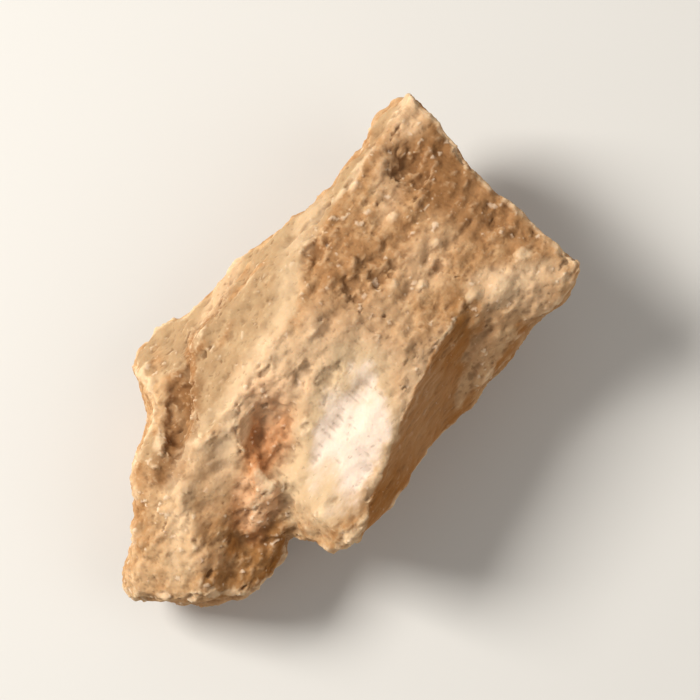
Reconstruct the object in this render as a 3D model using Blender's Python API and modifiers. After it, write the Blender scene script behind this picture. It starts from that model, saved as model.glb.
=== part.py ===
"""One chip of cut, dried orris root, the peeled rhizome of an iris.

The chip is what is left of a rhizome after a few cuts and breaks, so it is shaped in that order. Its plan is
sawn from a block, each flat face is one slanted cut, and each step or gully is a wedge cut out of it. Then the
breaks' hollows, ledges and grain are worked into the surface. The rhizome's fibres run along X, the chip's
long way. It rests on a small flat spot at Z = 0.

The chip is shaped with one Blender unit to the millimetre, because remeshing and merging have smallest
distances that suit larger things, and it is scaled to metres at the end.
"""

import math

import bmesh
import bpy
from mathutils import Matrix, Vector, noise

# Driving dimensions, in millimetres
PLAN_HEIGHT = 5.0  # height of the block before its top is cut
REST_DEPTH = 0.12  # what the last cut takes off to leave the flat spot that the chip rests on
CUTTER_SIZE = 14.0  # side of the block that a wedge is cut from, larger than the chip
MM = 0.001  # metres in a millimetre

# Plan of the chip seen from above, anticlockwise, from the tip at the thick end
PLAN = [
    (4.60, 2.20), (4.32, 2.52), (3.75, 2.58), (3.28, 2.36), (1.75, 2.34),
    (0.05, 2.74), (-0.75, 2.78), (-1.60, 2.94), (-2.18, 3.42), (-2.72, 3.40),
    (-3.00, 2.84), (-3.28, 2.32), (-3.70, 2.05), (-4.48, 1.84), (-5.00, 1.24),
    (-5.42, 0.86), (-6.04, 0.62), (-6.32, 0.33), (-5.90, -0.43), (-5.42, -0.93),
    (-4.65, -1.58), (-3.92, -1.50), (-3.42, -1.02), (-3.36, -1.72), (-3.28, -2.28),
    (-2.80, -2.48), (-0.65, -2.48), (2.65, -2.46), (3.65, -2.60), (4.04, -2.44),
    (4.06, -1.85), (4.08, -0.60), (4.10, 0.45), (4.32, 1.10),
]

# Flat faces: a point on the face, then the way it looks, as degrees round from +X and degrees up from level
FACES = {
    "grain": ((0.30, 1.65, 3.92), -40, 82),
    "saddle": ((0.10, -1.10, 3.60), -118, 78),
    "fleece": ((-1.66, 0.95, 3.76), 115, 60),
    "upper_bevel": ((-1.10, 2.52, 3.00), 93, 42),
    "rim": ((1.80, 2.05, 3.74), 92, 32),
    "toe": ((-5.00, 0.20, 2.35), 176, 58),
    "head_end": ((4.38, 0.40, 2.60), -6, 5),
    "under_long_side": ((0.00, -2.45, 1.80), -100, -34),
    "under_shoulder": ((3.00, -2.45, 2.00), -66, -36),
    "under_bevel": ((0.00, 2.62, 1.15), 82, -34),
    "under_heel": ((-3.05, 3.05, 1.30), 116, -34),
    "under_toe": ((-6.40, 0.10, 1.15), 186, -54),
    "under_foot": ((-5.30, -1.10, 1.35), 225, -40),
    "under_head": ((4.32, 0.60, 1.50), -5, -34),
    "under_corner": ((3.95, -2.35, 1.90), -38, -40),
    "belly_toe": ((-2.40, 0.00, 0.02), 188, -77),
    "belly_head": ((2.05, 0.00, 0.02), -8, -78),
}

# Wedges cut out of the chip. Each is what lies past all of its faces, which are given as above
WEDGES = {
    "long_side": [((0.53, -1.52, 3.46), -79, 29), ((2.56, -1.59, 3.40), -115, 52)],
    "gully": [
        ((-1.70, -1.95, 3.20), 160, 74),
        ((-2.27, 0.85, 3.58), -120, 67),
        ((-0.35, -0.85, 3.42), -148, 66),
    ],
    "foot": [
        ((-3.25, 0.45, 3.20), -125, 50),
        ((-4.71, 0.05, 2.54), -77, 60),
        ((-3.69, -0.58, 2.50), 144, 30),
    ],
    "foot_notch": [
        ((-3.25, 0.45, 3.20), -125, 50),
        ((-4.71, 0.05, 2.54), -77, 60),
        ((-3.69, -0.58, 2.50), -107, 30),
        ((-2.95, -1.50, 2.60), 172, 26),
    ],
    "under_tip": [((-3.32, -2.10, 2.30), 215, -38), ((-3.42, -1.60, 1.50), -20, 0)],
}

# Hollows broken out of the top: middle in plan, half length and half width, degrees round from +X, depth
HOLLOWS = {
    "pocket": ((-2.35, 0.00), 1.05, 0.66, 42, 0.38),
    "foot_nick": ((-3.30, 0.42), 0.55, 0.30, 30, 0.12),
    "bevel_furrow": ((-3.25, 1.72), 1.15, 0.32, 43, 0.24),
    "head_dimple": ((3.30, 1.28), 0.62, 0.46, 40, 0.14),
}

# Ledges left by the fibres on the sloping side: a point on the step, its run in degrees, its length and height
LEDGES = {
    "upper": ((-1.10, 2.42), 178, 2.6, 0.16),
    "lower": ((-2.60, 1.92), 218, 2.4, 0.20),
}

# Surface, in millimetres
VOXEL = 0.11  # spacing of the even mesh that the relief is worked into
WARP_DEPTH, WARP_SIZE = 0.16, 3.2  # slow swelling of the broken faces
LUMP_DEPTH, LUMP_SIZE = 0.075, 0.95  # lumps along the fibres
GRAIN_DEPTH, GRAIN_SIZE = 0.045, 0.34  # coarse mealy grain
FIBRE_STRETCH = 2.2  # how much longer than wide the lumps are, along X
TRIANGLES = 10000

ROOT_TAN = (0.56, 0.37, 0.20, 1.0)


def clear_scene():
    """Start from an empty scene."""
    for old in list(bpy.data.objects):
        bpy.data.objects.remove(old, do_unlink=True)


def looking(azimuth, elevation):
    """The direction that lies azimuth degrees round from +X and elevation degrees up from level."""
    a, e = math.radians(azimuth), math.radians(elevation)
    return Vector((math.cos(a) * math.cos(e), math.sin(a) * math.cos(e), math.sin(e)))


def smooth_step(low, high, value):
    """0 below low, 1 above high, and an even curve between."""
    t = min(max((value - low) / (high - low), 0.0), 1.0)
    return t * t * (3.0 - 2.0 * t)


def cut_away(shape, point, direction):
    """Saws off what lies past a plane, and closes the saw cut."""
    everything = shape.verts[:] + shape.edges[:] + shape.faces[:]
    cut = bmesh.ops.bisect_plane(
        shape, geom=everything, plane_co=point, plane_no=direction, clear_outer=True
    )
    rim = [part for part in cut["geom_cut"] if isinstance(part, bmesh.types.BMEdge)]
    if rim:
        bmesh.ops.triangle_fill(shape, edges=rim, use_beauty=True, normal=direction)


def sawn_block():
    """The chip's plan, as a block, with each of its flat faces cut."""
    shape = bmesh.new()
    plan = shape.faces.new([shape.verts.new((x, y, 0.0)) for x, y in PLAN])
    grown = bmesh.ops.extrude_face_region(shape, geom=[plan])
    raised = [part for part in grown["geom"] if isinstance(part, bmesh.types.BMVert)]
    bmesh.ops.translate(shape, verts=raised, vec=(0.0, 0.0, PLAN_HEIGHT))
    bmesh.ops.recalc_face_normals(shape, faces=shape.faces[:])
    for point, azimuth, elevation in FACES.values():
        cut_away(shape, Vector(point), looking(azimuth, elevation))
    bmesh.ops.recalc_face_normals(shape, faces=shape.faces[:])
    return shape


def wedge(faces):
    """The part of a large block that lies past all of the faces."""
    shape = bmesh.new()
    bmesh.ops.create_cube(shape, size=CUTTER_SIZE)
    for point, azimuth, elevation in faces:
        cut_away(shape, Vector(point), -looking(azimuth, elevation))
    bmesh.ops.recalc_face_normals(shape, faces=shape.faces[:])
    return shape


def object_from(shape, name):
    """A scene object that holds the shape."""
    mesh = bpy.data.meshes.new(name)
    shape.to_mesh(mesh)
    shape.free()
    made = bpy.data.objects.new(name, mesh)
    chip_collection.objects.link(made)
    return made


def apply_modifiers(made):
    """Bakes an object's modifiers into its mesh."""
    bpy.context.view_layer.update()
    seen = made.evaluated_get(bpy.context.evaluated_depsgraph_get())
    baked = bpy.data.meshes.new_from_object(seen)
    made.modifiers.clear()
    old = made.data
    made.data = baked
    bpy.data.meshes.remove(old)


def cut_wedges(made):
    """Takes the wedges out of the chip."""
    for name, faces in WEDGES.items():
        cutter = object_from(wedge(faces), name)
        cut = made.modifiers.new(name, "BOOLEAN")
        cut.operation, cut.object = "DIFFERENCE", cutter
        apply_modifiers(made)
        bpy.data.objects.remove(cutter, do_unlink=True)


def remesh_evenly(made):
    """An even mesh over the whole chip, with its sawn edges a little worn."""
    made.modifiers.new("Even mesh", "REMESH").voxel_size = VOXEL
    worn = made.modifiers.new("Worn edges", "SMOOTH")
    worn.factor, worn.iterations = 0.5, 3
    apply_modifiers(made)


def hollow_depth(x, y, middle, half_length, half_width, turn, depth):
    """How far a broken hollow lowers the top at x, y. Its rim wanders, as a break's does."""
    a = math.radians(turn)
    dx, dy = x - middle[0], y - middle[1]
    along = (dx * math.cos(a) + dy * math.sin(a)) / half_length
    across = (dy * math.cos(a) - dx * math.sin(a)) / half_width
    wander = 0.28 * noise.noise(Vector((x * 1.1, y * 1.1, 7.0)))
    reach = math.hypot(along, across) + wander
    return depth * (1.0 - smooth_step(0.35, 1.0, reach))


def ledge_depth(x, y, point, run, length, height):
    """How far a ledge lowers the sloping side at x, y: nothing above its edge, its height below, fading out."""
    a = math.radians(run)
    dx, dy = x - point[0], y - point[1]
    along = dx * math.cos(a) + dy * math.sin(a)
    below = dx * math.sin(a) - dy * math.cos(a)
    below += 0.16 * noise.noise(Vector((x * 1.6, y * 1.6, 3.0)))
    ends = 1.0 - smooth_step(0.6, 1.0, abs(along) / (length / 2))
    fade = 1.0 - smooth_step(0.3, 1.1, below)
    return height * ends * fade * smooth_step(-0.12, 0.12, below)


def relief(place, normal):
    """Where a point of the sawn chip goes once it is broken and worn."""
    x, y, z = place
    upward = smooth_step(0.25, 0.6, normal.z)
    lowered = sum(hollow_depth(x, y, *hollow) for hollow in HOLLOWS.values())
    lowered += sum(ledge_depth(x, y, *ledge) for ledge in LEDGES.values())
    along_fibres = Vector((x / FIBRE_STRETCH, y, z))
    swell = WARP_DEPTH * noise.noise(place / WARP_SIZE)
    lumps = LUMP_DEPTH * noise.fractal(along_fibres / LUMP_SIZE, 0.8, 2.1, 3)
    grain = GRAIN_DEPTH * noise.fractal(along_fibres / GRAIN_SIZE, 0.9, 2.0, 2)
    return place + normal * (swell + lumps + grain) - Vector((0.0, 0.0, lowered * upward))


def break_and_wear(made):
    """Works the hollows, ledges and grain into the even mesh."""
    mesh = made.data
    moved = [relief(vertex.co.copy(), vertex.normal.copy()) for vertex in mesh.vertices]
    for vertex, place in zip(mesh.vertices, moved):
        vertex.co = place
    mesh.update()


def thin_out(made):
    """Fewer triangles, kept where the surface bends."""
    made.data.calc_loop_triangles()
    thinner = made.modifiers.new("Fewer triangles", "DECIMATE")
    thinner.ratio = TRIANGLES / len(made.data.loop_triangles)
    apply_modifiers(made)


def stand_on_flat(made):
    """Saws the flat spot that the chip rests on, and brings its middle over the origin."""
    shape = bmesh.new()
    shape.from_mesh(made.data)
    lowest = min(vertex.co.z for vertex in shape.verts)
    cut_away(shape, Vector((0.0, 0.0, lowest + REST_DEPTH)), Vector((0.0, 0.0, -1.0)))
    bmesh.ops.recalc_face_normals(shape, faces=shape.faces[:])
    corners = [
        [pick(vertex.co[axis] for vertex in shape.verts) for axis in range(3)] for pick in (min, max)
    ]
    middle = Vector([(low + high) / 2 for low, high in zip(*corners)])
    middle.z = corners[0][2]
    bmesh.ops.transform(
        shape, matrix=Matrix.Scale(MM, 4) @ Matrix.Translation(-middle), verts=shape.verts[:]
    )
    shape.to_mesh(made.data)
    shape.free()


def dried_root():
    """The dried root's matt, mealy tan."""
    material = bpy.data.materials.new("dried_orris_root")
    material.use_nodes = True
    shader = material.node_tree.nodes["Principled BSDF"]
    shader.inputs["Base Color"].default_value = ROOT_TAN
    shader.inputs["Roughness"].default_value = 0.86
    shader.inputs["Metallic"].default_value = 0.0
    return material


def finish_surface(made):
    """Smooth shading inside each face, a crisp line where faces meet, and the root's finish."""
    made.data.shade_smooth()
    made.data.set_sharp_from_angle(angle=math.radians(38))
    made.data.materials.append(dried_root())


clear_scene()
chip_collection = bpy.data.collections.new("orris_root_chip")
bpy.context.scene.collection.children.link(chip_collection)
chip = object_from(sawn_block(), "orris_chip")
cut_wedges(chip)
remesh_evenly(chip)
break_and_wear(chip)
thin_out(chip)
stand_on_flat(chip)
finish_surface(chip)
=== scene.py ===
# %% [markdown]
# # A chip of dried orris root
#
# Orris root is the peeled and dried rhizome of an iris. Once it is dry it is hard and mealy, like
# chalk with fibres in it, and it is cut and broken into chips. This lesson dresses one such chip.
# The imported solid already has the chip's cuts and breaks, so what is left is the part that the
# eye and the fingertip notice: meal, pits, fibres, worn edges, and a colour that changes from
# cream to brown.
#
# We start by loading the solid, and we keep its box, because nothing that we add may change the
# chip's size.

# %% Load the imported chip
import math

import bpy
import numpy as np
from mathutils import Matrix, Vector, noise


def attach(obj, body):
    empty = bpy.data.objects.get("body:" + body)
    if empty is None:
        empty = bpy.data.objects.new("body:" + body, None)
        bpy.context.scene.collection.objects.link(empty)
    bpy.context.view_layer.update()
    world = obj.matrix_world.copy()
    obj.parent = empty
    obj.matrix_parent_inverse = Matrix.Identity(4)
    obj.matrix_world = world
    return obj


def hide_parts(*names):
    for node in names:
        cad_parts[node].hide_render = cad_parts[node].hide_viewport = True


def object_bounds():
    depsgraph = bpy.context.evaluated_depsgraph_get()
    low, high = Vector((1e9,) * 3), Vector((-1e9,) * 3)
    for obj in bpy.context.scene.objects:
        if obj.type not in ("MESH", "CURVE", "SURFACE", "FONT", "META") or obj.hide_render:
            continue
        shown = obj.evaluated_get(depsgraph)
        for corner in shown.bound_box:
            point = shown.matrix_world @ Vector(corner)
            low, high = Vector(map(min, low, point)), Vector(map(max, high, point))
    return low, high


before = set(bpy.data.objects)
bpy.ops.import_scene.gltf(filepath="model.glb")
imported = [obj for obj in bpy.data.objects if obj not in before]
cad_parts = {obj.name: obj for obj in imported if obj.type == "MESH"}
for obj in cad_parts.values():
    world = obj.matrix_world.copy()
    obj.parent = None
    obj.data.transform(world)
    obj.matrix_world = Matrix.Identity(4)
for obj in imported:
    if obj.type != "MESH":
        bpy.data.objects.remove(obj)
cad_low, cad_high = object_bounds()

NODE = "orris_chip"
LENGTH = cad_high.x - cad_low.x
print("chip", [round(1000 * side, 2) for side in cad_high - cad_low], "mm")

# %% [markdown]
# ## A skin fine enough for the meal
#
# The solid has about ten thousand triangles, each as long as a coarse grain is wide. The grain
# could be painted on with a bump map, but a bump map has no outline, and a worn edge is mostly
# outline. So we copy the solid, lay an even mesh over it, about thirty points to the millimetre,
# and move its points in code.
#
# A modifier lays the mesh. It needs an object to sit on, so we hold the copy on one, take the
# mesh that comes out, and remove the object again. Remeshing has a smallest spacing that suits
# larger things, so the copy is worked on with one unit to the millimetre.

# %% Lay an even mesh over a copy of the solid
MM = 0.001
SPACING = 0.034


def after_modifier(mesh, kind, **settings):
    """The mesh that a modifier of this kind makes of the given one."""
    holder = bpy.data.objects.new("holder", mesh)
    bpy.context.scene.collection.objects.link(holder)
    modifier = holder.modifiers.new(kind, kind)
    for setting, value in settings.items():
        setattr(modifier, setting, value)
    seen = holder.evaluated_get(bpy.context.evaluated_depsgraph_get())
    changed = bpy.data.meshes.new_from_object(seen)
    bpy.data.objects.remove(holder, do_unlink=True)
    return changed


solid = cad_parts[NODE].data.copy()
for vertex in solid.vertices:
    vertex.co /= MM
skin = after_modifier(solid, "REMESH", voxel_size=SPACING)
print("skin", len(skin.vertices), "points")

# %% [markdown]
# ## Points as arrays
#
# That is too many points to visit one at a time for every step. Places and edges are kept as
# NumPy arrays, and then one line of code does the same sum for every point at once.

# %% Places and neighbours
def read_vectors(items, name):
    """One row of three numbers for each item."""
    flat = np.empty(len(items) * 3, dtype=np.float32)
    items.foreach_get(name, flat)
    return flat.reshape(-1, 3).astype(float)


places = read_vectors(skin.vertices, "co")
ends = np.empty(len(skin.edges) * 2, dtype=np.int32)
skin.edges.foreach_get("vertices", ends)
first, second = ends.reshape(-1, 2).T
neighbours = np.bincount(first, minlength=len(places)) + np.bincount(second, minlength=len(places))
print("each point has about", round(float(neighbours.mean()), 1), "neighbours")

# %% [markdown]
# ## Averages, and what stands out from them
#
# Two small functions do most of the work. One averages any value with its neighbours, which
# smooths it. The other looks from a point to the average round it: a point that stands proud of
# its neighbours is on an edge, and one that lies below them is in a hollow.

# %% Averages and proudness
def averaged(values, rounds, weight=0.5):
    """The values after each has moved part of the way to its neighbours' average, so many times."""
    columns = np.atleast_2d(values.T).astype(float)
    for _ in range(rounds):
        for i, column in enumerate(columns):
            total = np.bincount(first, column[second], len(column))
            total += np.bincount(second, column[first], len(column))
            columns[i] = column + weight * (total / neighbours - column)
    return columns.T if values.ndim == 2 else columns[0]


def normals_at(spots):
    """The outward direction at each point, once the mesh has these places."""
    skin.vertices.foreach_set("co", spots.astype(np.float32).ravel())
    skin.update()
    return read_vectors(skin.vertex_normals, "vector")


def proudness(spots, outward, rounds):
    """How far each point stands out from the average round it, in millimetres. Below 0 is a hollow."""
    return ((spots - averaged(spots, rounds)) * outward).sum(axis=1)


most = float(proudness(places, normals_at(places), 1).max())
print("no point stands more than", round(most, 3), "mm proud of its neighbours")

# %% [markdown]
# ## Rounding off the triangles
#
# The solid's flat triangles would show as a net of creases. Averaging takes them out, but it also
# shrinks the chip a little, so each round of averaging is followed by a slightly stronger one the
# other way. That pair keeps the large shape and loses only what is small. A lighter average after
# each pair settles what is left.

# %% Smooth the skin without shrinking it
SMOOTHING_ROUNDS = 12
INWARD, BACK_OUT, SETTLE = 0.6, -0.62, 0.25

for _ in range(SMOOTHING_ROUNDS):
    places = averaged(averaged(places, 1, INWARD), 1, BACK_OUT)
    places = averaged(places, 1, SETTLE)
outward = normals_at(places)
print("smoothed chip", [round(float(side), 2) for side in np.ptp(places, axis=0)], "mm")

# %% [markdown]
# ## Finding the edges
#
# Nearly every step below needs a mask: a number from 0 to 1 at each point, which says how much of
# something that point gets. Two helpers make them. A soft step goes from 0 to 1 between two
# values. A share picks the points where a value is highest, so that a mask can be asked for as so
# many points in a hundred. The first mask is the edges, the points that stand proudest of a wide
# ring of neighbours.

# %% Soft steps, shares and the edges
EDGE_ROUNDS, EDGE_SHARE = 90, 0.05


def step(low, high, values):
    """0 below low, 1 above high, and an even curve between."""
    t = np.clip((values - low) / (high - low), 0.0, 1.0)
    return t * t * (3.0 - 2.0 * t)


def highest(values, share):
    """1 for the highest share of the values, fading to 0 for the rest of the highest two shares."""
    low, high = np.quantile(values, (1.0 - 2.0 * share, 1.0 - share))
    return step(low, high, values)


edge = highest(proudness(places, outward, EDGE_ROUNDS), EDGE_SHARE)
print("points on an edge", round(100 * float(edge.mean())), "in a hundred")

# %% [markdown]
# ## Which way each face looks
#
# A break follows the fibres and leaves lumps and lips. A knife leaves a flat face with only its
# streaks. So each kind of surface needs a mask of its own, and the faces give the first ones,
# because each cut face looks one way. The directions are taken from an averaged skin, so that a
# single lump doesn't count as a face.

# %% Masks by direction
FACING_ROUNDS = 12

smooth_outward = normals_at(averaged(places, FACING_ROUNDS))


def looking(azimuth, elevation):
    """The direction that lies azimuth degrees round from +X and elevation degrees up from level."""
    a, e = math.radians(azimuth), math.radians(elevation)
    return np.array((math.cos(a) * math.cos(e), math.sin(a) * math.cos(e), math.sin(e)))


def faces_way(azimuth, elevation, within):
    """1 where the surface looks that way, fading to 0 at so many degrees from it."""
    toward = smooth_outward @ looking(azimuth, elevation)
    return step(math.cos(math.radians(within)), math.cos(math.radians(within * 0.5)), toward)


up_facing = step(0.1, 0.45, smooth_outward[:, 2])
long_side = faces_way(-79, 29, 28)
# The shoulder face is painted pale below, as painted light where the light falls on it.
shoulder = faces_way(-115, 52, 22)
head_end = faces_way(-6, 5, 30)
under = step(0.15, 0.45, -smooth_outward[:, 2])
bevel = np.maximum(faces_way(115, 58, 22), faces_way(93, 42, 20))
cut = np.maximum.reduce([long_side, head_end, 0.5 * under])
print("cut faces", round(float(cut.mean()), 2), "of the skin, bevel", round(float(bevel.mean()), 2))

# %% [markdown]
# ## Noise for everything ragged
#
# Nothing on a broken root is regular, so noise has a hand in nearly every rim and depth below.
# Fractal noise is built up in layers, each finer and weaker than the one before. Stretched along
# the fibres, its lumps grow longer that way.

# %% Cloudy noise at each point
FALL_OFF, FINER_BY = 0.8, 2.0


def fractal(size, stretch=(1.0, 1.0, 1.0), octaves=3, shift=0.0):
    """Cloudy noise, about -1 to 1, with lumps of this size in millimetres, drawn out by the stretch."""
    sampled = places / (size * np.array(stretch)) + shift
    return np.array([noise.fractal(spot, FALL_OFF, FINER_BY, octaves) for spot in sampled.tolist()])


rim_noise = fractal(0.8, octaves=4, shift=5.0)
print("noise from", round(float(rim_noise.min()), 2), "to", round(float(rim_noise.max()), 2))

# %% [markdown]
# ## Patches on the top
#
# Other masks are patches seen from above, each with a middle, two half lengths and a turn. Noise
# makes their rims wander, and a higher power squares them off a little. The starchy end with its
# whiter core, the pink-brown pocket, the calmer wall beside it, the brown foot and the dimple in
# the head are all such patches.

# %% Masks by place
def patch(middle, half_length, half_width, turn, wander=0.25, soft=0.30, power=2):
    """1 inside a patch, seen from above, fading to 0 across its wandering rim."""
    a = math.radians(turn)
    dx, dy = places[:, 0] - middle[0], places[:, 1] - middle[1]
    along = np.abs(dx * math.cos(a) + dy * math.sin(a)) / half_length
    across = np.abs(dy * math.cos(a) - dx * math.sin(a)) / half_width
    reach = (along**power + across**power) ** (1 / power)
    return (1.0 - step(1.0 - soft, 1.0 + soft, reach + wander * rim_noise)) * up_facing


starch = patch((-0.74, -1.40), 1.75, 0.92, 17, 0.25, 0.42, 2.3) * (1.0 - long_side)
starch_core = patch((-0.68, -1.60), 1.25, 0.66, 23, 0.35, 0.45) * (1.0 - long_side)
starch_core *= 1.0 - 0.55 * patch((-1.45, -1.78), 0.50, 0.30, 40, 0.35, 0.60)
pocket = patch((-1.62, -0.45), 0.98, 0.55, 42, 0.35, 0.40)
calm_wall = patch((-2.68, 0.10), 0.95, 0.42, 48, 0.30, 0.50)
blush = np.maximum(pocket, 0.7 * patch((-2.72, -0.88), 0.62, 0.38, 40))
foot = np.maximum(patch((-2.85, -1.15), 1.20, 0.85, 42), patch((-4.30, 0.35), 0.60, 0.40, 60))
pale_end = patch((0.00, -0.90), 1.75, 1.10, 8, 0.35, 0.60) * (1.0 - long_side)
# The gully wall beside the pocket is painted pale below, as painted light.
pale_wall = patch((-1.50, 0.20), 1.70, 0.42, 14, 0.35, 0.50) * (1.0 - pocket)
# The dimple in the head end is painted dark below, as painted shade.
dimple = patch((4.38, 0.45), 0.85, 0.50, 35, 0.40, 0.55)
print("starch", round(float(starch.mean()), 3), "blush", round(float(blush.mean()), 3), "of the skin")

# %% [markdown]
# ## Paler and browner places
#
# Between those patches the tan is never quite even. Lips and corners are rubbed pale, and the middle
# of the top is a little browner. Some of these patches are painted light and shade: the shoulder and
# the gully wall beside the pocket are painted pale as painted light, the head end is painted darker
# as painted shade, and the painted shade group darkens the low ground round the foot, the foot's lower
# rim, a strip along the long side's top edge near the head and the low end of the flank. Each group
# below becomes one mask, and where two patches of a group meet the stronger one counts.

# %% Groups of patches
lips = np.maximum.reduce([
    patch((-4.10, -0.05), 1.30, 0.42, 47, 0.30, 0.45),
    patch((-2.30, 1.88), 0.60, 0.28, 50),
    patch((-5.05, -0.10), 0.42, 0.30, 0),
])
# Partly painted light: the gully wall and the shoulder face are painted pale as painted light; the rest
# are paler places of the top.
pale = np.maximum.reduce([
    pale_end,
    pale_wall,
    patch((1.00, -1.85), 1.10, 0.35, 8, 0.35, 0.60),
    0.7 * patch((2.88, -0.48), 0.80, 0.45, 20, 0.45, 0.70),
    0.9 * patch((3.62, -2.15), 0.80, 0.48, 145, 0.35, 0.55),
    0.6 * patch((3.80, 1.10), 1.15, 0.26, 34, 0.35, 0.60),
    0.9 * patch((4.95, 1.60), 0.50, 0.35, 30),
    0.8 * patch((0.10, 2.30), 0.90, 0.20, 12),
    0.35 * shoulder,
])
# Partly painted light: the crest beside the pocket is painted paler as painted light; the rest are paler
# patches.
paler = np.maximum.reduce([
    0.45 * patch((-0.50, 0.12), 0.95, 0.42, 10),
    0.60 * patch((-1.82, 0.24), 0.70, 0.26, 15),
    0.35 * patch((-0.12, -0.58), 0.60, 0.36, 30, 0.35, 0.60),
    0.15 * patch((0.55, -2.30), 1.20, 0.50, 8),
    0.14 * patch((0.85, -1.20), 0.85, 0.50, 15, 0.35, 0.60),
])
# Partly painted shade: the first patch paints the head end darker as painted shade; the other two are
# browner patches of the top.
brown = np.maximum.reduce([
    patch((4.42, -0.10), 1.75, 0.52, 97, 0.45, 0.55),
    0.45 * patch((1.90, 0.35), 0.95, 0.80, 30, 0.45, 0.60),
    0.25 * patch((2.28, 1.75), 0.95, 0.30, 22, 0.35, 0.60),
])
# Painted shade: these patches darken the low ground round the foot, the foot's lower rim, a strip along
# the long side's top edge near the head and the low end of the flank.
deep_brown = np.maximum.reduce([
    patch((-3.10, -1.52), 1.20, 0.60, 42, 0.35, 0.45),
    patch((-4.25, -1.42), 0.70, 0.34, 140),
    patch((2.72, -1.68), 0.50, 0.28, 15, 0.30, 0.50),
    0.6 * patch((-1.84, -2.52), 0.60, 0.22, 10),
])
print("pale", round(float(pale.mean()), 3), "brown", round(float(brown.mean()), 3), "of the skin")

# %% [markdown]
# ## Lines on the top
#
# A torn face has lines: the crest where two faces meet and its narrow end on the toe, the ledge
# where a layer of fibres let go, the furrow beside it, the tongue on the foot, and the rims of
# the pocket and of the shoulder. A line is a few corners, seen from above, and the function gives
# each point's distance from it. The sign of the distance says on which side the point lies, which
# is what makes a ledge step down.

# %% Distances from the lines
CREST = [
    (2.61, 1.90), (1.22, 1.34), (0.56, 0.88), (-0.74, 0.49), (-1.41, 0.44), (-2.05, 0.58), (-2.73, 0.51),
    (-3.54, 0.22), (-3.94, -0.23), (-4.48, -0.73),
]
TOE_CREST = [(-1.41, 0.44), (-2.05, 0.58), (-2.73, 0.51), (-3.54, 0.22), (-3.94, -0.23)]
LEDGE = [(0.19, 2.05), (-0.96, 2.07), (-1.97, 1.35), (-2.28, 0.84)]
FURROW = [(-1.85, 1.50), (-2.32, 1.12), (-2.89, 0.89), (-3.37, 0.70)]
SHOULDER_EDGE = [(3.15, -1.78), (3.45, -1.98), (4.55, -2.62)]
POCKET_RIM = [(-1.43, 0.38), (-0.82, 0.23), (-0.38, -0.24), (-0.51, -0.71)]
TONGUE = [(-2.55, -0.60), (-2.81, -0.96), (-2.33, -1.13), (-1.81, -1.29)]
LINE_WANDER = 0.13


def distance_from(corners):
    """Each point's distance from a line through the corners, above 0 on the left of it."""
    bent = places[:, :2] + LINE_WANDER * np.column_stack((rim_noise, np.roll(rim_noise, 7)))
    nearest = np.full(len(places), np.inf)
    for start, end in zip(np.array(corners[:-1]), np.array(corners[1:])):
        run, offset = end - start, bent - start
        along = np.clip(offset @ run / (run @ run), 0.0, 1.0)
        distance = np.hypot(*(offset - along[:, None] * run).T)
        side = np.where(run[0] * offset[:, 1] - run[1] * offset[:, 0] < 0.0, -1.0, 1.0)
        nearest = np.where(distance < np.abs(nearest), side * distance, nearest)
    return nearest


def within(distance, width):
    """1 on a line, fading to 0 at this distance from it."""
    return (1.0 - step(0.3 * width, width, np.abs(distance))) * up_facing


from_crest, from_ledge, from_furrow = (distance_from(line) for line in (CREST, LEDGE, FURROW))
from_rim, from_tongue = distance_from(POCKET_RIM), distance_from(TONGUE)
from_shoulder, from_toe_crest = distance_from(SHOULDER_EDGE), distance_from(TOE_CREST)
print("on the crest", round(float((within(from_crest, 0.12) > 0.5).mean()), 4), "of the skin")

# %% [markdown]
# ## Meal, pits and fibres
#
# The root is packed with starch grains, with a thin bundle of fibres here and there. When it
# dries, the grains stand out as meal, and where a bundle has pulled out it leaves a pit, longer
# than it is wide. Cloudy noise makes the meal. The same noise, drawn out along the fibres, makes
# the pits, if we keep only its highest peaks. A knife leaves shallow ridges across its path, so
# the ridges are noise drawn out across the chip.

# %% Shapes of the fine relief
lumps = fractal(0.60, (1.8, 1.0, 1.0), 3, 2.0)
crumbs = fractal(0.30, (1.3, 1.0, 1.0), 2, 41.0)
meal = fractal(0.15, (1.3, 1.0, 1.0), 3, 17.0)
grains = highest(fractal(0.13, (1.4, 1.0, 1.0), 2, 53.0), 0.012)
pits = highest(fractal(0.30, (2.0, 1.0, 1.0), 3, 11.0), 0.006)
fine_pits = highest(fractal(0.12, (1.8, 1.0, 1.0), 2, 23.0), 0.008)
fibres = 1.0 - 2.0 * np.abs(fractal(0.085, (12.0, 1.0, 1.0), 2, 8.0))
ridges = fractal(0.075, (1.0, 14.0, 4.0), 2, 61.0)
print("pitted", round(float((pits > 0.5).mean()), 3), "of the skin")

# %% [markdown]
# ## The large pits and nubs
#
# A few pits and pale nubs are wide enough to be told apart, so they are listed one by one: each is a
# place seen from above and a radius. A ragged rim comes from the meal, and all of them are drawn
# out a little along the fibres.

# %% Find the skin inside the large pits and nubs
PITS = [
    (4.16, 0.92, 0.25), (4.19, 0.56, 0.14), (2.02, 0.34, 0.13), (2.43, -0.12, 0.11),
    (1.62, 0.23, 0.18), (2.12, -0.05, 0.16), (1.68, 1.22, 0.20), (3.05, -0.76, 0.11),
    (0.00, -0.53, 0.19), (-0.26, -0.13, 0.14),
]
NUBS = [
    (3.47, -1.95, 0.22), (3.16, 0.50, 0.09), (2.15, -0.36, 0.10), (2.50, -0.76, 0.09),
    (3.31, -0.45, 0.08), (3.12, 1.49, 0.10), (4.26, -1.85, 0.12), (3.05, -1.62, 0.12),
]


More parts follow.
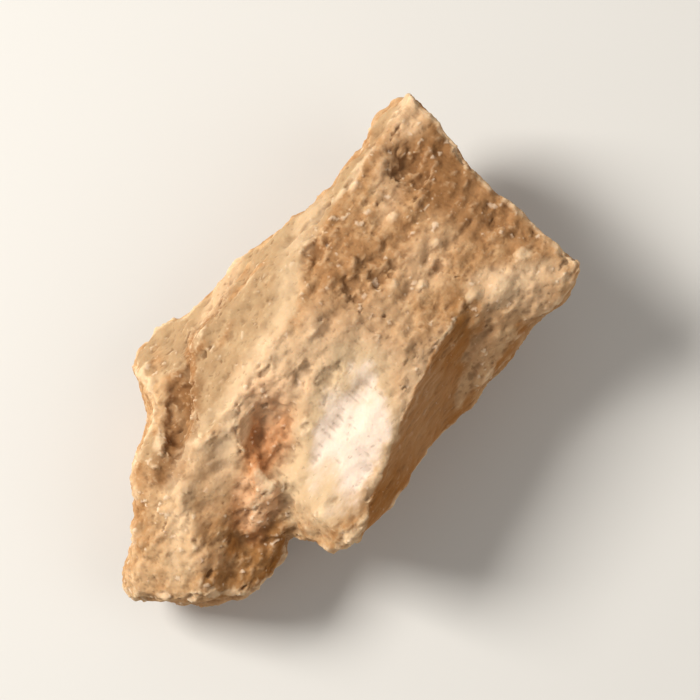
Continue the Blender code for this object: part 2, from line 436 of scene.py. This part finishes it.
def in_spots(spots):
    """1 inside any of the spots, fading to 0 across its ragged rim."""
    inside = np.zeros(len(places))
    for x, y, radius in spots:
        reach = np.hypot((places[:, 0] - x) / 1.3, places[:, 1] - y) / radius + 0.8 * meal + 0.3 * crumbs
        inside = np.maximum(inside, 1.0 - step(0.30, 1.40, reach))
    return inside * up_facing


large_pits, nubs = in_spots(PITS), in_spots(NUBS)
print("large pits cover", round(float(large_pits.mean()), 4), "of the skin")

# %% [markdown]
# ## How mealy and how torn
#
# The broken pocket and foot are the mealiest. Cut faces, the starchy end and the bevel keep less
# meal, and so does the gully's calm wall. The torn sides come away in low steps, one layer of
# fibres at a time: an even zigzag across the chip makes the layers, and slow noise bends them.
# Rims and edges are ragged, whole in one place and broken away in the next.

# %% Where the relief is strong
LAYER = 0.42

mealy = 0.90 + 0.30 * np.maximum(blush, foot) - 0.60 * cut
mealy -= 0.45 * starch + 0.30 * bevel + 0.30 * pale_end
mealy *= 1.0 - 0.55 * calm_wall
uncut = 1.0 - 0.85 * cut
torn = fractal(1.3, (2.2, 1.0, 1.0), 3, 14.0)
low_ledges = np.abs(2.0 * (((places[:, 1] + places[:, 2]) / LAYER + 0.8 * torn) % 1.0) - 1.0)
torn_side = (1.0 - up_facing) * (1.0 - cut)
ragged = step(-0.55, 0.35, fractal(0.45, octaves=3, shift=71.0))
print("meal between", round(float(mealy.min()), 2), "and", round(float(mealy.max()), 2), "of its depth")

# %% [markdown]
# ## How deep each thing goes
#
# The shapes are between 0 and 1, or between -1 and 1, so their depths in millimetres can be set
# side by side. Cut faces show their fibres most, the worn rims stand a little proud, and the
# edges are crumbled. At the end nothing may reach below the surface that the chip lies on.

# %% Work the relief into the skin
relief = 0.045 * lumps * (1.0 - 0.6 * np.maximum(cut, calm_wall))
relief += 0.065 * crumbs * mealy
relief += 0.030 * meal * mealy
relief += 0.022 * grains * mealy
relief += 0.012 * fibres * (0.25 + 0.75 * cut)
relief += 0.012 * ridges * pale_end
relief += 0.030 * (low_ledges - 0.5) * np.maximum(bevel, 0.8 * torn_side)
relief -= 0.045 * pits * uncut * (1.0 - starch)
relief -= 0.016 * fine_pits * uncut * (1.0 - 0.9 * starch)
relief -= 0.050 * large_pits
relief += 0.050 * nubs
relief += 0.014 * within(from_crest, 0.16) * ragged
for line in (from_rim, from_tongue, from_toe_crest):
    relief += 0.030 * within(line, 0.16) * ragged
relief += 0.050 * within(from_ledge, 0.30) * (0.5 - step(-0.03, 0.10, -from_ledge))
relief -= 0.055 * within(from_ledge, 0.11) * ragged
relief -= 0.075 * within(from_furrow, 0.24) * (0.3 + 0.7 * ragged)
relief -= 0.055 * step(0.10, 0.50, fractal(0.36, (1.2, 1.0, 1.0), 3, 31.0)) * edge
places = places + outward * relief[:, None]
places[:, 2] = np.maximum(places[:, 2], cad_low.z / MM)
print("relief from", round(float(relief.min()), 3), "to", round(float(relief.max()), 3), "mm")

# %% [markdown]
# ## What the paint needs to know
#
# The paint follows the shape. Hollows are darkened as painted shade, and edges are painted pale,
# partly as meal rubbed down and partly as painted highlight, most of all along the crest and the
# shoulder. The furrow, the ledge's foot and the dimple are painted dark as painted shade. The
# finished skin can be asked for that, with the same measure of proudness as before, this time on a
# small scale and on a middling one.

# %% Wear, painted highlight and painted shade from the finished shape
FINE_ROUNDS, BROAD_ROUNDS = 7, 60

outward = normals_at(places)
fine_proud = proudness(places, outward, FINE_ROUNDS)
broad_proud = proudness(places, outward, BROAD_ROUNDS)
# Edges painted pale: partly rubbed meal, partly painted highlight along the crest, the shoulder, the
# toe's crest and every sharp edge.
worn_and_highlit = np.maximum(within(from_crest + 0.06, 0.38), within(from_shoulder - 0.12, 0.36))
worn_and_highlit = np.maximum(worn_and_highlit, 1.2 * within(from_toe_crest, 0.20)) * (0.22 + 0.33 * ragged)
proud = highest(fine_proud, 0.05) * (0.3 + 0.7 * edge)
crumbled_and_highlit = 0.8 * edge * (0.2 + 0.8 * ragged)
# Painted shade in the furrow and at the ledge's foot; the dimple is added to it below.
stain = np.maximum(within(from_furrow, 0.50), 0.6 * within(from_ledge, 0.15)) * (0.7 + 0.3 * ragged)
dark_pits = pits * uncut * (1.0 - starch)
# Painted shade: points that lie in hollows, small and broad, are darkened below.
hollow = np.maximum(0.9 * highest(-fine_proud, 0.07), 0.6 * highest(-broad_proud, 0.05))
print("worn_and_highlit", round(float(worn_and_highlit.mean()), 3), "hollow", round(float(hollow.mean()), 3), "of the skin")

# %% [markdown]
# ## Masks that travel with the mesh
#
# A material can't see these arrays. Each mask is stored on the mesh as an attribute, one number
# to a point, and the material reads it by name.

# %% Store the masks on the skin
# Some masks carry painted shade (hollows, creases, the patches round the foot) and some painted
# highlight (edges, the crest, the shoulder).
masks = {
    "hollow": hollow * (1.0 - 0.5 * calm_wall),
    "scuff": np.maximum.reduce([proud, crumbled_and_highlit, worn_and_highlit, 0.9 * nubs, 0.3 * pale_wall, paler]),
    "pits": np.maximum.reduce([dark_pits, 0.25 * fine_pits * (uncut - 0.8 * starch), 0.5 * large_pits]),
    "rim": np.maximum(within(from_rim, 0.28), within(from_tongue, 0.34)) * (0.5 + 0.5 * ragged),
    "grains": grains * mealy,
    "pale": pale,
    "brown": brown,
    "deep_brown": deep_brown,
    "stain": np.maximum(stain, 0.8 * dimple),
    "starch": starch,
    "starch_core": starch_core,
    "blush": blush,
    "foot": foot,
    "lips": lips,
    "cut": cut,
    "bevel": bevel,
}
for name, values in masks.items():
    skin.attributes.new(name, "FLOAT", "POINT").data.foreach_set("value", values.astype(np.float32))
print("stored", ", ".join(masks))

# %% [markdown]
# ## The skin takes the solid's place
#
# The skin is thinned where it is flattest, goes back to metres and is shaded smooth. It rides on
# the chip's one body, and it stands for the solid, which stays behind it for the physics.

# %% Put the skin on the chip
MOST_TRIANGLES = 192000

skin.vertices.foreach_set("co", places.astype(np.float32).ravel())
skin.materials.clear()
skin.calc_loop_triangles()
skin = after_modifier(skin, "DECIMATE", ratio=MOST_TRIANGLES / len(skin.loop_triangles))
for vertex in skin.vertices:
    vertex.co *= MM
skin.shade_smooth()
skin.update()
chip = bpy.data.objects.new("orris_chip_skin", skin)
bpy.context.scene.collection.objects.link(chip)
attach(chip, "root")
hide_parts("orris_chip")
skin.calc_loop_triangles()
print("skin", len(skin.loop_triangles), "triangles")

# %% [markdown]
# ## Writing a material as sums
#
# A node tree is hard to read and easy to write as arithmetic. The small class below holds one
# output of one node. Adding, taking away or multiplying two of them adds the Math node that does
# it, so a line of the material reads like the sum that it is. Colours keep to Mix nodes, because
# a Math node would turn them grey.

# %% A socket that can be used in sums
class Wire:
    """One output of a node. Sums on it add Math nodes."""

    def __init__(self, finish, socket):
        self.finish = finish
        self.socket = socket

    def maths(self, operation, one, other, clamp=False):
        settings = {"operation": operation, "use_clamp": clamp}
        return self.finish.node("ShaderNodeMath", settings, {0: one, 1: other})

    def __add__(self, other):
        return self.maths("ADD", self, other)

    def __sub__(self, other):
        return self.maths("SUBTRACT", self, other)

    def __mul__(self, other):
        return self.maths("MULTIPLY", self, other)

    def __rsub__(self, other):
        return self.maths("SUBTRACT", other, self)

    __radd__ = __add__
    __rmul__ = __mul__

    def clamped(self):
        return self.maths("ADD", self, 0.0, clamp=True)


print("a wire can be added, taken away, multiplied and clamped")

# %% [markdown]
# ## One method for every node
#
# Every other node is added by one method, which takes the node's type, its settings, and what
# goes into its sockets. The settings come first, because some of them change which sockets there
# are.

# %% A finish: a material and its nodes
class Finish:
    """A material, and the one method that adds any node to it."""

    def __init__(self, name):
        self.material = bpy.data.materials.new(name)
        self.material.use_nodes = True
        self.tree = self.material.node_tree
        self.shader = self.tree.nodes["Principled BSDF"]

    def node(self, kind, settings, sockets, output=0):
        """Adds a node: its settings first, then its sockets' values or links. Returns one output."""
        made = self.tree.nodes.new(kind)
        for name, value in settings.items():
            if name == "stops":
                self.set_stops(made.color_ramp, value)
            else:
                setattr(made, name, value)
        for name, value in sockets.items():
            self.put(made.inputs[name], value)
        return Wire(self, made.outputs[output])

    def set_stops(self, ramp, stops):
        while len(ramp.elements) < len(stops):
            ramp.elements.new(1.0)
        for element, (place, colour) in zip(ramp.elements, stops):
            element.position = place
            element.color = (*colour, 1.0)

    def put(self, socket, value):
        if isinstance(value, Wire):
            self.tree.links.new(value.socket, socket)
        elif isinstance(value, tuple) and len(value) == 3 and socket.type == "RGBA":
            socket.default_value = (*value, 1.0)
        else:
            socket.default_value = value


root = Finish("dried_orris_root")
print(root.material.name, "starts with", len(root.tree.nodes), "nodes")

# %% [markdown]
# ## Short names for the root's nodes
#
# The root's material mixes colours, reads masks and adds clouds again and again, so each of these
# has a short function. Last come the places that the clouds are looked up at: in millimetres, and
# squeezed along or across the fibres, which draws the clouds out that way.

# %% Mixes, masks, clouds and places
def mix(factor, one, other):
    """A colour part of the way from one to the other."""
    return root.node("ShaderNodeMix", {"data_type": "RGBA"}, {0: factor, 6: one, 7: other}, 2)


def mask(name):
    """A mask that is stored on the skin."""
    return root.node("ShaderNodeAttribute", {"attribute_name": name}, {}, "Fac")


def between(value, low, high):
    """0 where the value is under low, 1 where it is over high."""
    sockets = {"Value": value, "From Min": low, "From Max": high}
    return root.node("ShaderNodeMapRange", {"interpolation_type": "SMOOTHSTEP"}, sockets)


def cloud(place, size, octaves=3.0, roughness=0.55):
    """Cloudy noise from 0 to 1, with lumps of this size in millimetres."""
    sockets = {"Vector": place, "Scale": 1.0 / size, "Detail": octaves, "Roughness": roughness}
    return root.node("ShaderNodeTexNoise", {}, sockets, "Fac")


def scaled(place, by):
    """The place with each direction scaled."""
    return root.node("ShaderNodeVectorMath", {"operation": "MULTIPLY"}, {0: place, 1: by})


place = scaled(root.node("ShaderNodeTexCoord", {}, {}, "Object"), (1 / MM, 1 / MM, 1 / MM))
along_fibres = scaled(place, (0.10, 1.0, 1.0))
across_fibres = scaled(place, (1.0, 0.08, 0.3))
print("with three kinds of place", len(root.tree.nodes), "nodes")

# %% [markdown]
# ## The ground colour
#
# Dry root is tan, but no two grains of it are quite alike. Two clouds make the ground: a slow one
# that drifts from deep tan to cream over a millimetre, and a quick one, the size of the meal,
# that lightens and darkens it. Streaks of deep tan run along the fibres.

# %% Tan, cream and streaks
TAN, DEEP_TAN, CREAM = (0.455, 0.250, 0.112), (0.330, 0.160, 0.062), (0.610, 0.390, 0.205)

ground = root.node(
    "ShaderNodeValToRGB",
    {"stops": [(0.33, DEEP_TAN), (0.50, TAN), (0.68, CREAM)]},
    {"Fac": 0.40 * cloud(place, 0.85, 4.0) + 0.60 * cloud(place, 0.26, 4.0, 0.65)},
)
streaks = between(cloud(along_fibres, 0.07, 3.0), 0.45, 0.68)
colour = mix(0.25 * streaks, ground, DEEP_TAN)
print("with the ground", len(root.tree.nodes), "nodes")

# %% [markdown]
# ## Each part of the surface
#
# The torn bevel is a shade greyer than the top. The long cut side is warm brown, with streaks
# along the fibres. The pocket is pinkish and so is its rim, the foot is brown and its lips are pale.
# Painted light and shade are mixed in here too: the shoulder and the gully wall are painted pale,
# the head end is painted darker, patches round the foot and along the long side are painted brown
# as painted shade, and the furrow, the ledge's foot and the dimple are painted dark as painted
# shade. Each colour is mixed in through its mask, and the later ones lie over the earlier.

# %% Bevel, cut side, pocket and foot
CUT_BROWN, FOOT_AND_SHADE_BROWN, BLUSH = (0.340, 0.132, 0.027), (0.250, 0.100, 0.018), (0.510, 0.215, 0.085)
CREASE_SHADE_BROWN, BEVEL_TAN = (0.230, 0.105, 0.036), (0.370, 0.262, 0.148)
PALE_CREAM, LIP_CREAM, RIM_PINK = (0.660, 0.440, 0.260), (0.620, 0.410, 0.225), (0.720, 0.430, 0.240)

cut_streaks = between(cloud(along_fibres, 0.11, 4.0, 0.6), 0.35, 0.70)
colour = mix(0.60 * mask("bevel"), colour, BEVEL_TAN)
# Partly painted light: the shoulder face and the gully wall are painted pale here.
colour = mix(0.75 * mask("pale"), colour, PALE_CREAM)
# Partly painted shade: the head end is painted darker here.
colour = mix(0.82 * mask("brown"), colour, DEEP_TAN)
colour = mix(mask("cut") * (0.95 - 0.35 * cut_streaks), colour, CUT_BROWN)
colour = mix(0.30 * mask("foot"), colour, FOOT_AND_SHADE_BROWN)
# Painted shade round the foot and along the long side, in the foot's brown.
colour = mix(0.60 * mask("deep_brown"), colour, FOOT_AND_SHADE_BROWN)
colour = mix(0.78 * mask("blush"), colour, BLUSH)
colour = mix(0.72 * mask("rim"), colour, RIM_PINK)
colour = mix(0.50 * mask("lips"), colour, LIP_CREAM)
# Painted shade in the furrow, at the ledge's foot and in the dimple.
colour = mix(0.92 * mask("stain"), colour, CREASE_SHADE_BROWN)
print("with the patches", len(root.tree.nodes), "nodes")

# %% [markdown]
# ## The starchy end
#
# Beside the pocket the cut runs through the root's starch. It is cream there, and nearly white
# where the starch lies thickest. Its rim isn't a painted line: the starch fades out in feathers
# along the fibres, so a drawn-out cloud is added to the mask before it is cut off.

# %% Feathered starch
STARCH_CREAM, STARCH_WHITE = (0.600, 0.425, 0.250), (0.800, 0.650, 0.535)

feathers = cloud(scaled(place, (0.35, 1.0, 1.0)), 0.16, 4.0)
powder = between(mask("starch_core") + 0.60 * feathers, 0.45, 1.15)
starch_colour = mix(powder, STARCH_CREAM, STARCH_WHITE)
starchy = between(mask("starch") + 0.50 * feathers, 0.40, 1.20)
colour = mix(0.92 * starchy, colour, starch_colour)
print("with the starch", len(root.tree.nodes), "nodes")

# %% [markdown]
# ## Painted shade in hollows, pale scuffs and highlights, and specks
#
# Wear goes on last, as it does on the real chip, and painted light and shade go with it. Brown
# stays in the pits, hollows are darkened as painted shade, proud edges are painted pale, partly as
# scuffed meal and partly as painted highlight, and the cut ends of fibre bundles show as small brown
# specks between pale grains.

# %% Wear, painted shade and highlights, and specks
BARK_AND_SHADE_BROWN, SCUFF_AND_HIGHLIGHT_PALE, FLECK = (0.115, 0.045, 0.014), (0.800, 0.590, 0.375), (0.930, 0.800, 0.650)

# Painted shade in hollows.
colour = mix((0.40 * mask("hollow")).clamped(), colour, BARK_AND_SHADE_BROWN)
colour = mix((0.42 * mask("pits")).clamped(), colour, BARK_AND_SHADE_BROWN)
# Pale scuffs and painted highlights on edges, the crest and the shoulder.
colour = mix((0.65 * mask("scuff")).clamped(), colour, SCUFF_AND_HIGHLIGHT_PALE)
colour = mix((0.28 * mask("grains")).clamped(), colour, FLECK)

dark_speck = between(cloud(scaled(place, (0.5, 1.0, 1.0)), 0.085, 2.0), 0.66, 0.72)
pale_speck = between(cloud(place, 0.09, 3.0, 0.7), 0.64, 0.76)
colour = mix(0.22 * dark_speck, colour, BARK_AND_SHADE_BROWN)
colour = mix(0.20 * pale_speck, colour, FLECK)
root.put(root.shader.inputs["Base Color"], colour)
print("with wear and specks", len(root.tree.nodes), "nodes")

# %% [markdown]
# ## Dull, mealy and a little translucent
#
# Nothing on the chip is glossy. Starch lets a little light in, which softens the dark side of
# each grain, so the shader gets some subsurface scattering, the same all over.

# %% Roughness and scattering
shader = root.shader.inputs
shader["Specular IOR Level"].default_value = 0.15
shader["Subsurface Weight"].default_value = 0.18
shader["Subsurface Radius"].default_value = (1.0, 0.55, 0.30)
shader["Subsurface Scale"].default_value = 0.25 * MM
root.put(shader["Roughness"], 0.94 - 0.14 * cloud(place, 0.5) - 0.10 * mask("cut"))
print("scattering reaches", round(shader["Subsurface Scale"].default_value / MM, 2), "mm in red light")

# %% [markdown]
# ## Grain too fine for the mesh
#
# A bump carries on where the mesh's own relief stops: grains a few hundredths of a millimetre
# wide, the finest fibres, and the finest of the knife's ridges. Bump moves no points, which is
# right for what is too small to show in an outline.

# %% Fine bump
GRAIN_WIDTH, BUMP_DEPTH = 0.075, 0.016 * MM

grain_sockets = {"Vector": place, "Scale": 1.0 / GRAIN_WIDTH}
grain_cells = root.node("ShaderNodeTexVoronoi", {}, grain_sockets, "Distance")
fine_fibres = cloud(along_fibres, 0.035, 2.0) * (0.3 + 0.9 * mask("cut"))
fine_ridges = 0.35 * cloud(across_fibres, 0.045, 2.0)
height = 0.6 * cloud(place, 0.05, 3.0, 0.6) - 0.45 * grain_cells + fine_fibres + fine_ridges
bump_sockets = {"Strength": 0.7, "Distance": BUMP_DEPTH, "Height": height}
bump = root.node("ShaderNodeBump", {}, bump_sockets, "Normal")
root.put(shader["Normal"], bump)
chip.data.materials.append(root.material)
print("the root's finish has", len(root.tree.nodes), "nodes")

# %% [markdown]
# ## A plain pale floor
#
# The chip lies on a plain floor, much larger than itself, so that no edge of it shows. Lengths
# here are in chip lengths, so the set still fits if the chip is made larger.

# %% Lay the floor
FLOOR_SIZE = 60 * LENGTH
FLOOR_PALE, FLOOR_ROUGHNESS = (0.64, 0.625, 0.60), 0.9
MIDDLE = (cad_low + cad_high) / 2

bpy.ops.mesh.primitive_plane_add(size=FLOOR_SIZE, location=(MIDDLE.x, MIDDLE.y, cad_low.z))
floor = bpy.context.object
floor.name = "floor"
plain = Finish("plain_pale_floor")
plain.put(plain.shader.inputs["Base Color"], FLOOR_PALE)
plain.put(plain.shader.inputs["Roughness"], FLOOR_ROUGHNESS)
floor.data.materials.append(plain.material)
print("floor", round(1000 * FLOOR_SIZE), "mm across")

# %% [markdown]
# ## The camera
#
# The photograph looks down on the chip steeply, from a little to its left and front. A long lens
# far away keeps the chip's sides parallel. The camera aims at the middle of what it sees of the
# chip, which we find by asking how far each point of the skin lies to the right of the camera's
# middle, and how far above it.

# %% Place the camera at the photograph's angle
VIEW_AZIMUTH, VIEW_ELEVATION = -50, 78
LENS, SENSOR = 150, 36
FRAME_HEIGHT = 1.25 * LENGTH


def seen_from(azimuth, elevation):
    """The direction from the chip to someone who looks at it from this side."""
    a, e = math.radians(azimuth), math.radians(elevation)
    return Vector((math.sin(a) * math.cos(e), -math.cos(a) * math.cos(e), math.sin(e)))


back = seen_from(VIEW_AZIMUTH, VIEW_ELEVATION)
turn = back.to_track_quat("Z", "Y")
seen = read_vectors(skin.vertices, "co") @ np.array(turn.to_matrix())
aim = turn @ Vector((seen.min(axis=0) + seen.max(axis=0)) / 2)
distance = FRAME_HEIGHT * LENS / SENSOR

camera_data = bpy.data.cameras.new("camera")
camera_data.lens, camera_data.sensor_width = LENS, SENSOR
camera_data.clip_start, camera_data.clip_end = distance * 0.05, distance * 100
camera = bpy.data.objects.new("camera", camera_data)
camera.location = aim + back * distance
camera.rotation_euler = turn.to_euler()
bpy.context.scene.collection.objects.link(camera)
bpy.context.scene.camera = camera
print("camera", round(1000 * distance), "mm away, aimed at", [round(1000 * v, 3) for v in aim], "mm")

# %% [markdown]
# ## Soft light from the picture's left
#
# One large soft light stands half way up on the picture's left, a little towards its top, so that
# the facets that look left are bright and the long cut side is in shade. A weaker, larger light
# on the other side, a little warmer, keeps the shade from going black.

# %% Key light and fill light
KEY_WHITE, FILL_WHITE = (1.0, 0.975, 0.925), (1.0, 0.93, 0.84)


def soft_light(name, azimuth, elevation, distance, size, brightness, colour):
    """A square light that faces the chip. Distance and size are in chip lengths."""
    data = bpy.data.lights.new(name, "AREA")
    data.shape = "SQUARE"
    data.size = size * LENGTH
    data.energy = brightness * (distance * LENGTH) ** 2
    data.color = colour
    toward = seen_from(azimuth, elevation)
    lamp = bpy.data.objects.new(name, data)
    lamp.location = MIDDLE + toward * distance * LENGTH
    lamp.rotation_euler = toward.to_track_quat("Z", "Y").to_euler()
    bpy.context.scene.collection.objects.link(lamp)


soft_light("key", azimuth=-155, elevation=42, distance=9, size=3.5, brightness=14.6, colour=KEY_WHITE)
soft_light("fill", azimuth=25, elevation=50, distance=10, size=7, brightness=2, colour=FILL_WHITE)

# %% [markdown]
# ## A dim even sky
#
# Light also comes from everywhere at once, as it does in a room with pale walls. The Standard
# view leaves the colours as they were worked out, so they can be set against the photograph's.

# %% Sky and view
SKY_WHITE, SKY_STRENGTH = (1.0, 0.98, 0.95, 1.0), 0.30

world = bpy.data.worlds.new("studio")
world.use_nodes = True
sky = world.node_tree.nodes["Background"].inputs
sky["Color"].default_value = SKY_WHITE
sky["Strength"].default_value = SKY_STRENGTH
bpy.context.scene.world = world
bpy.context.scene.view_settings.view_transform = "Standard"
print("sky", SKY_STRENGTH)
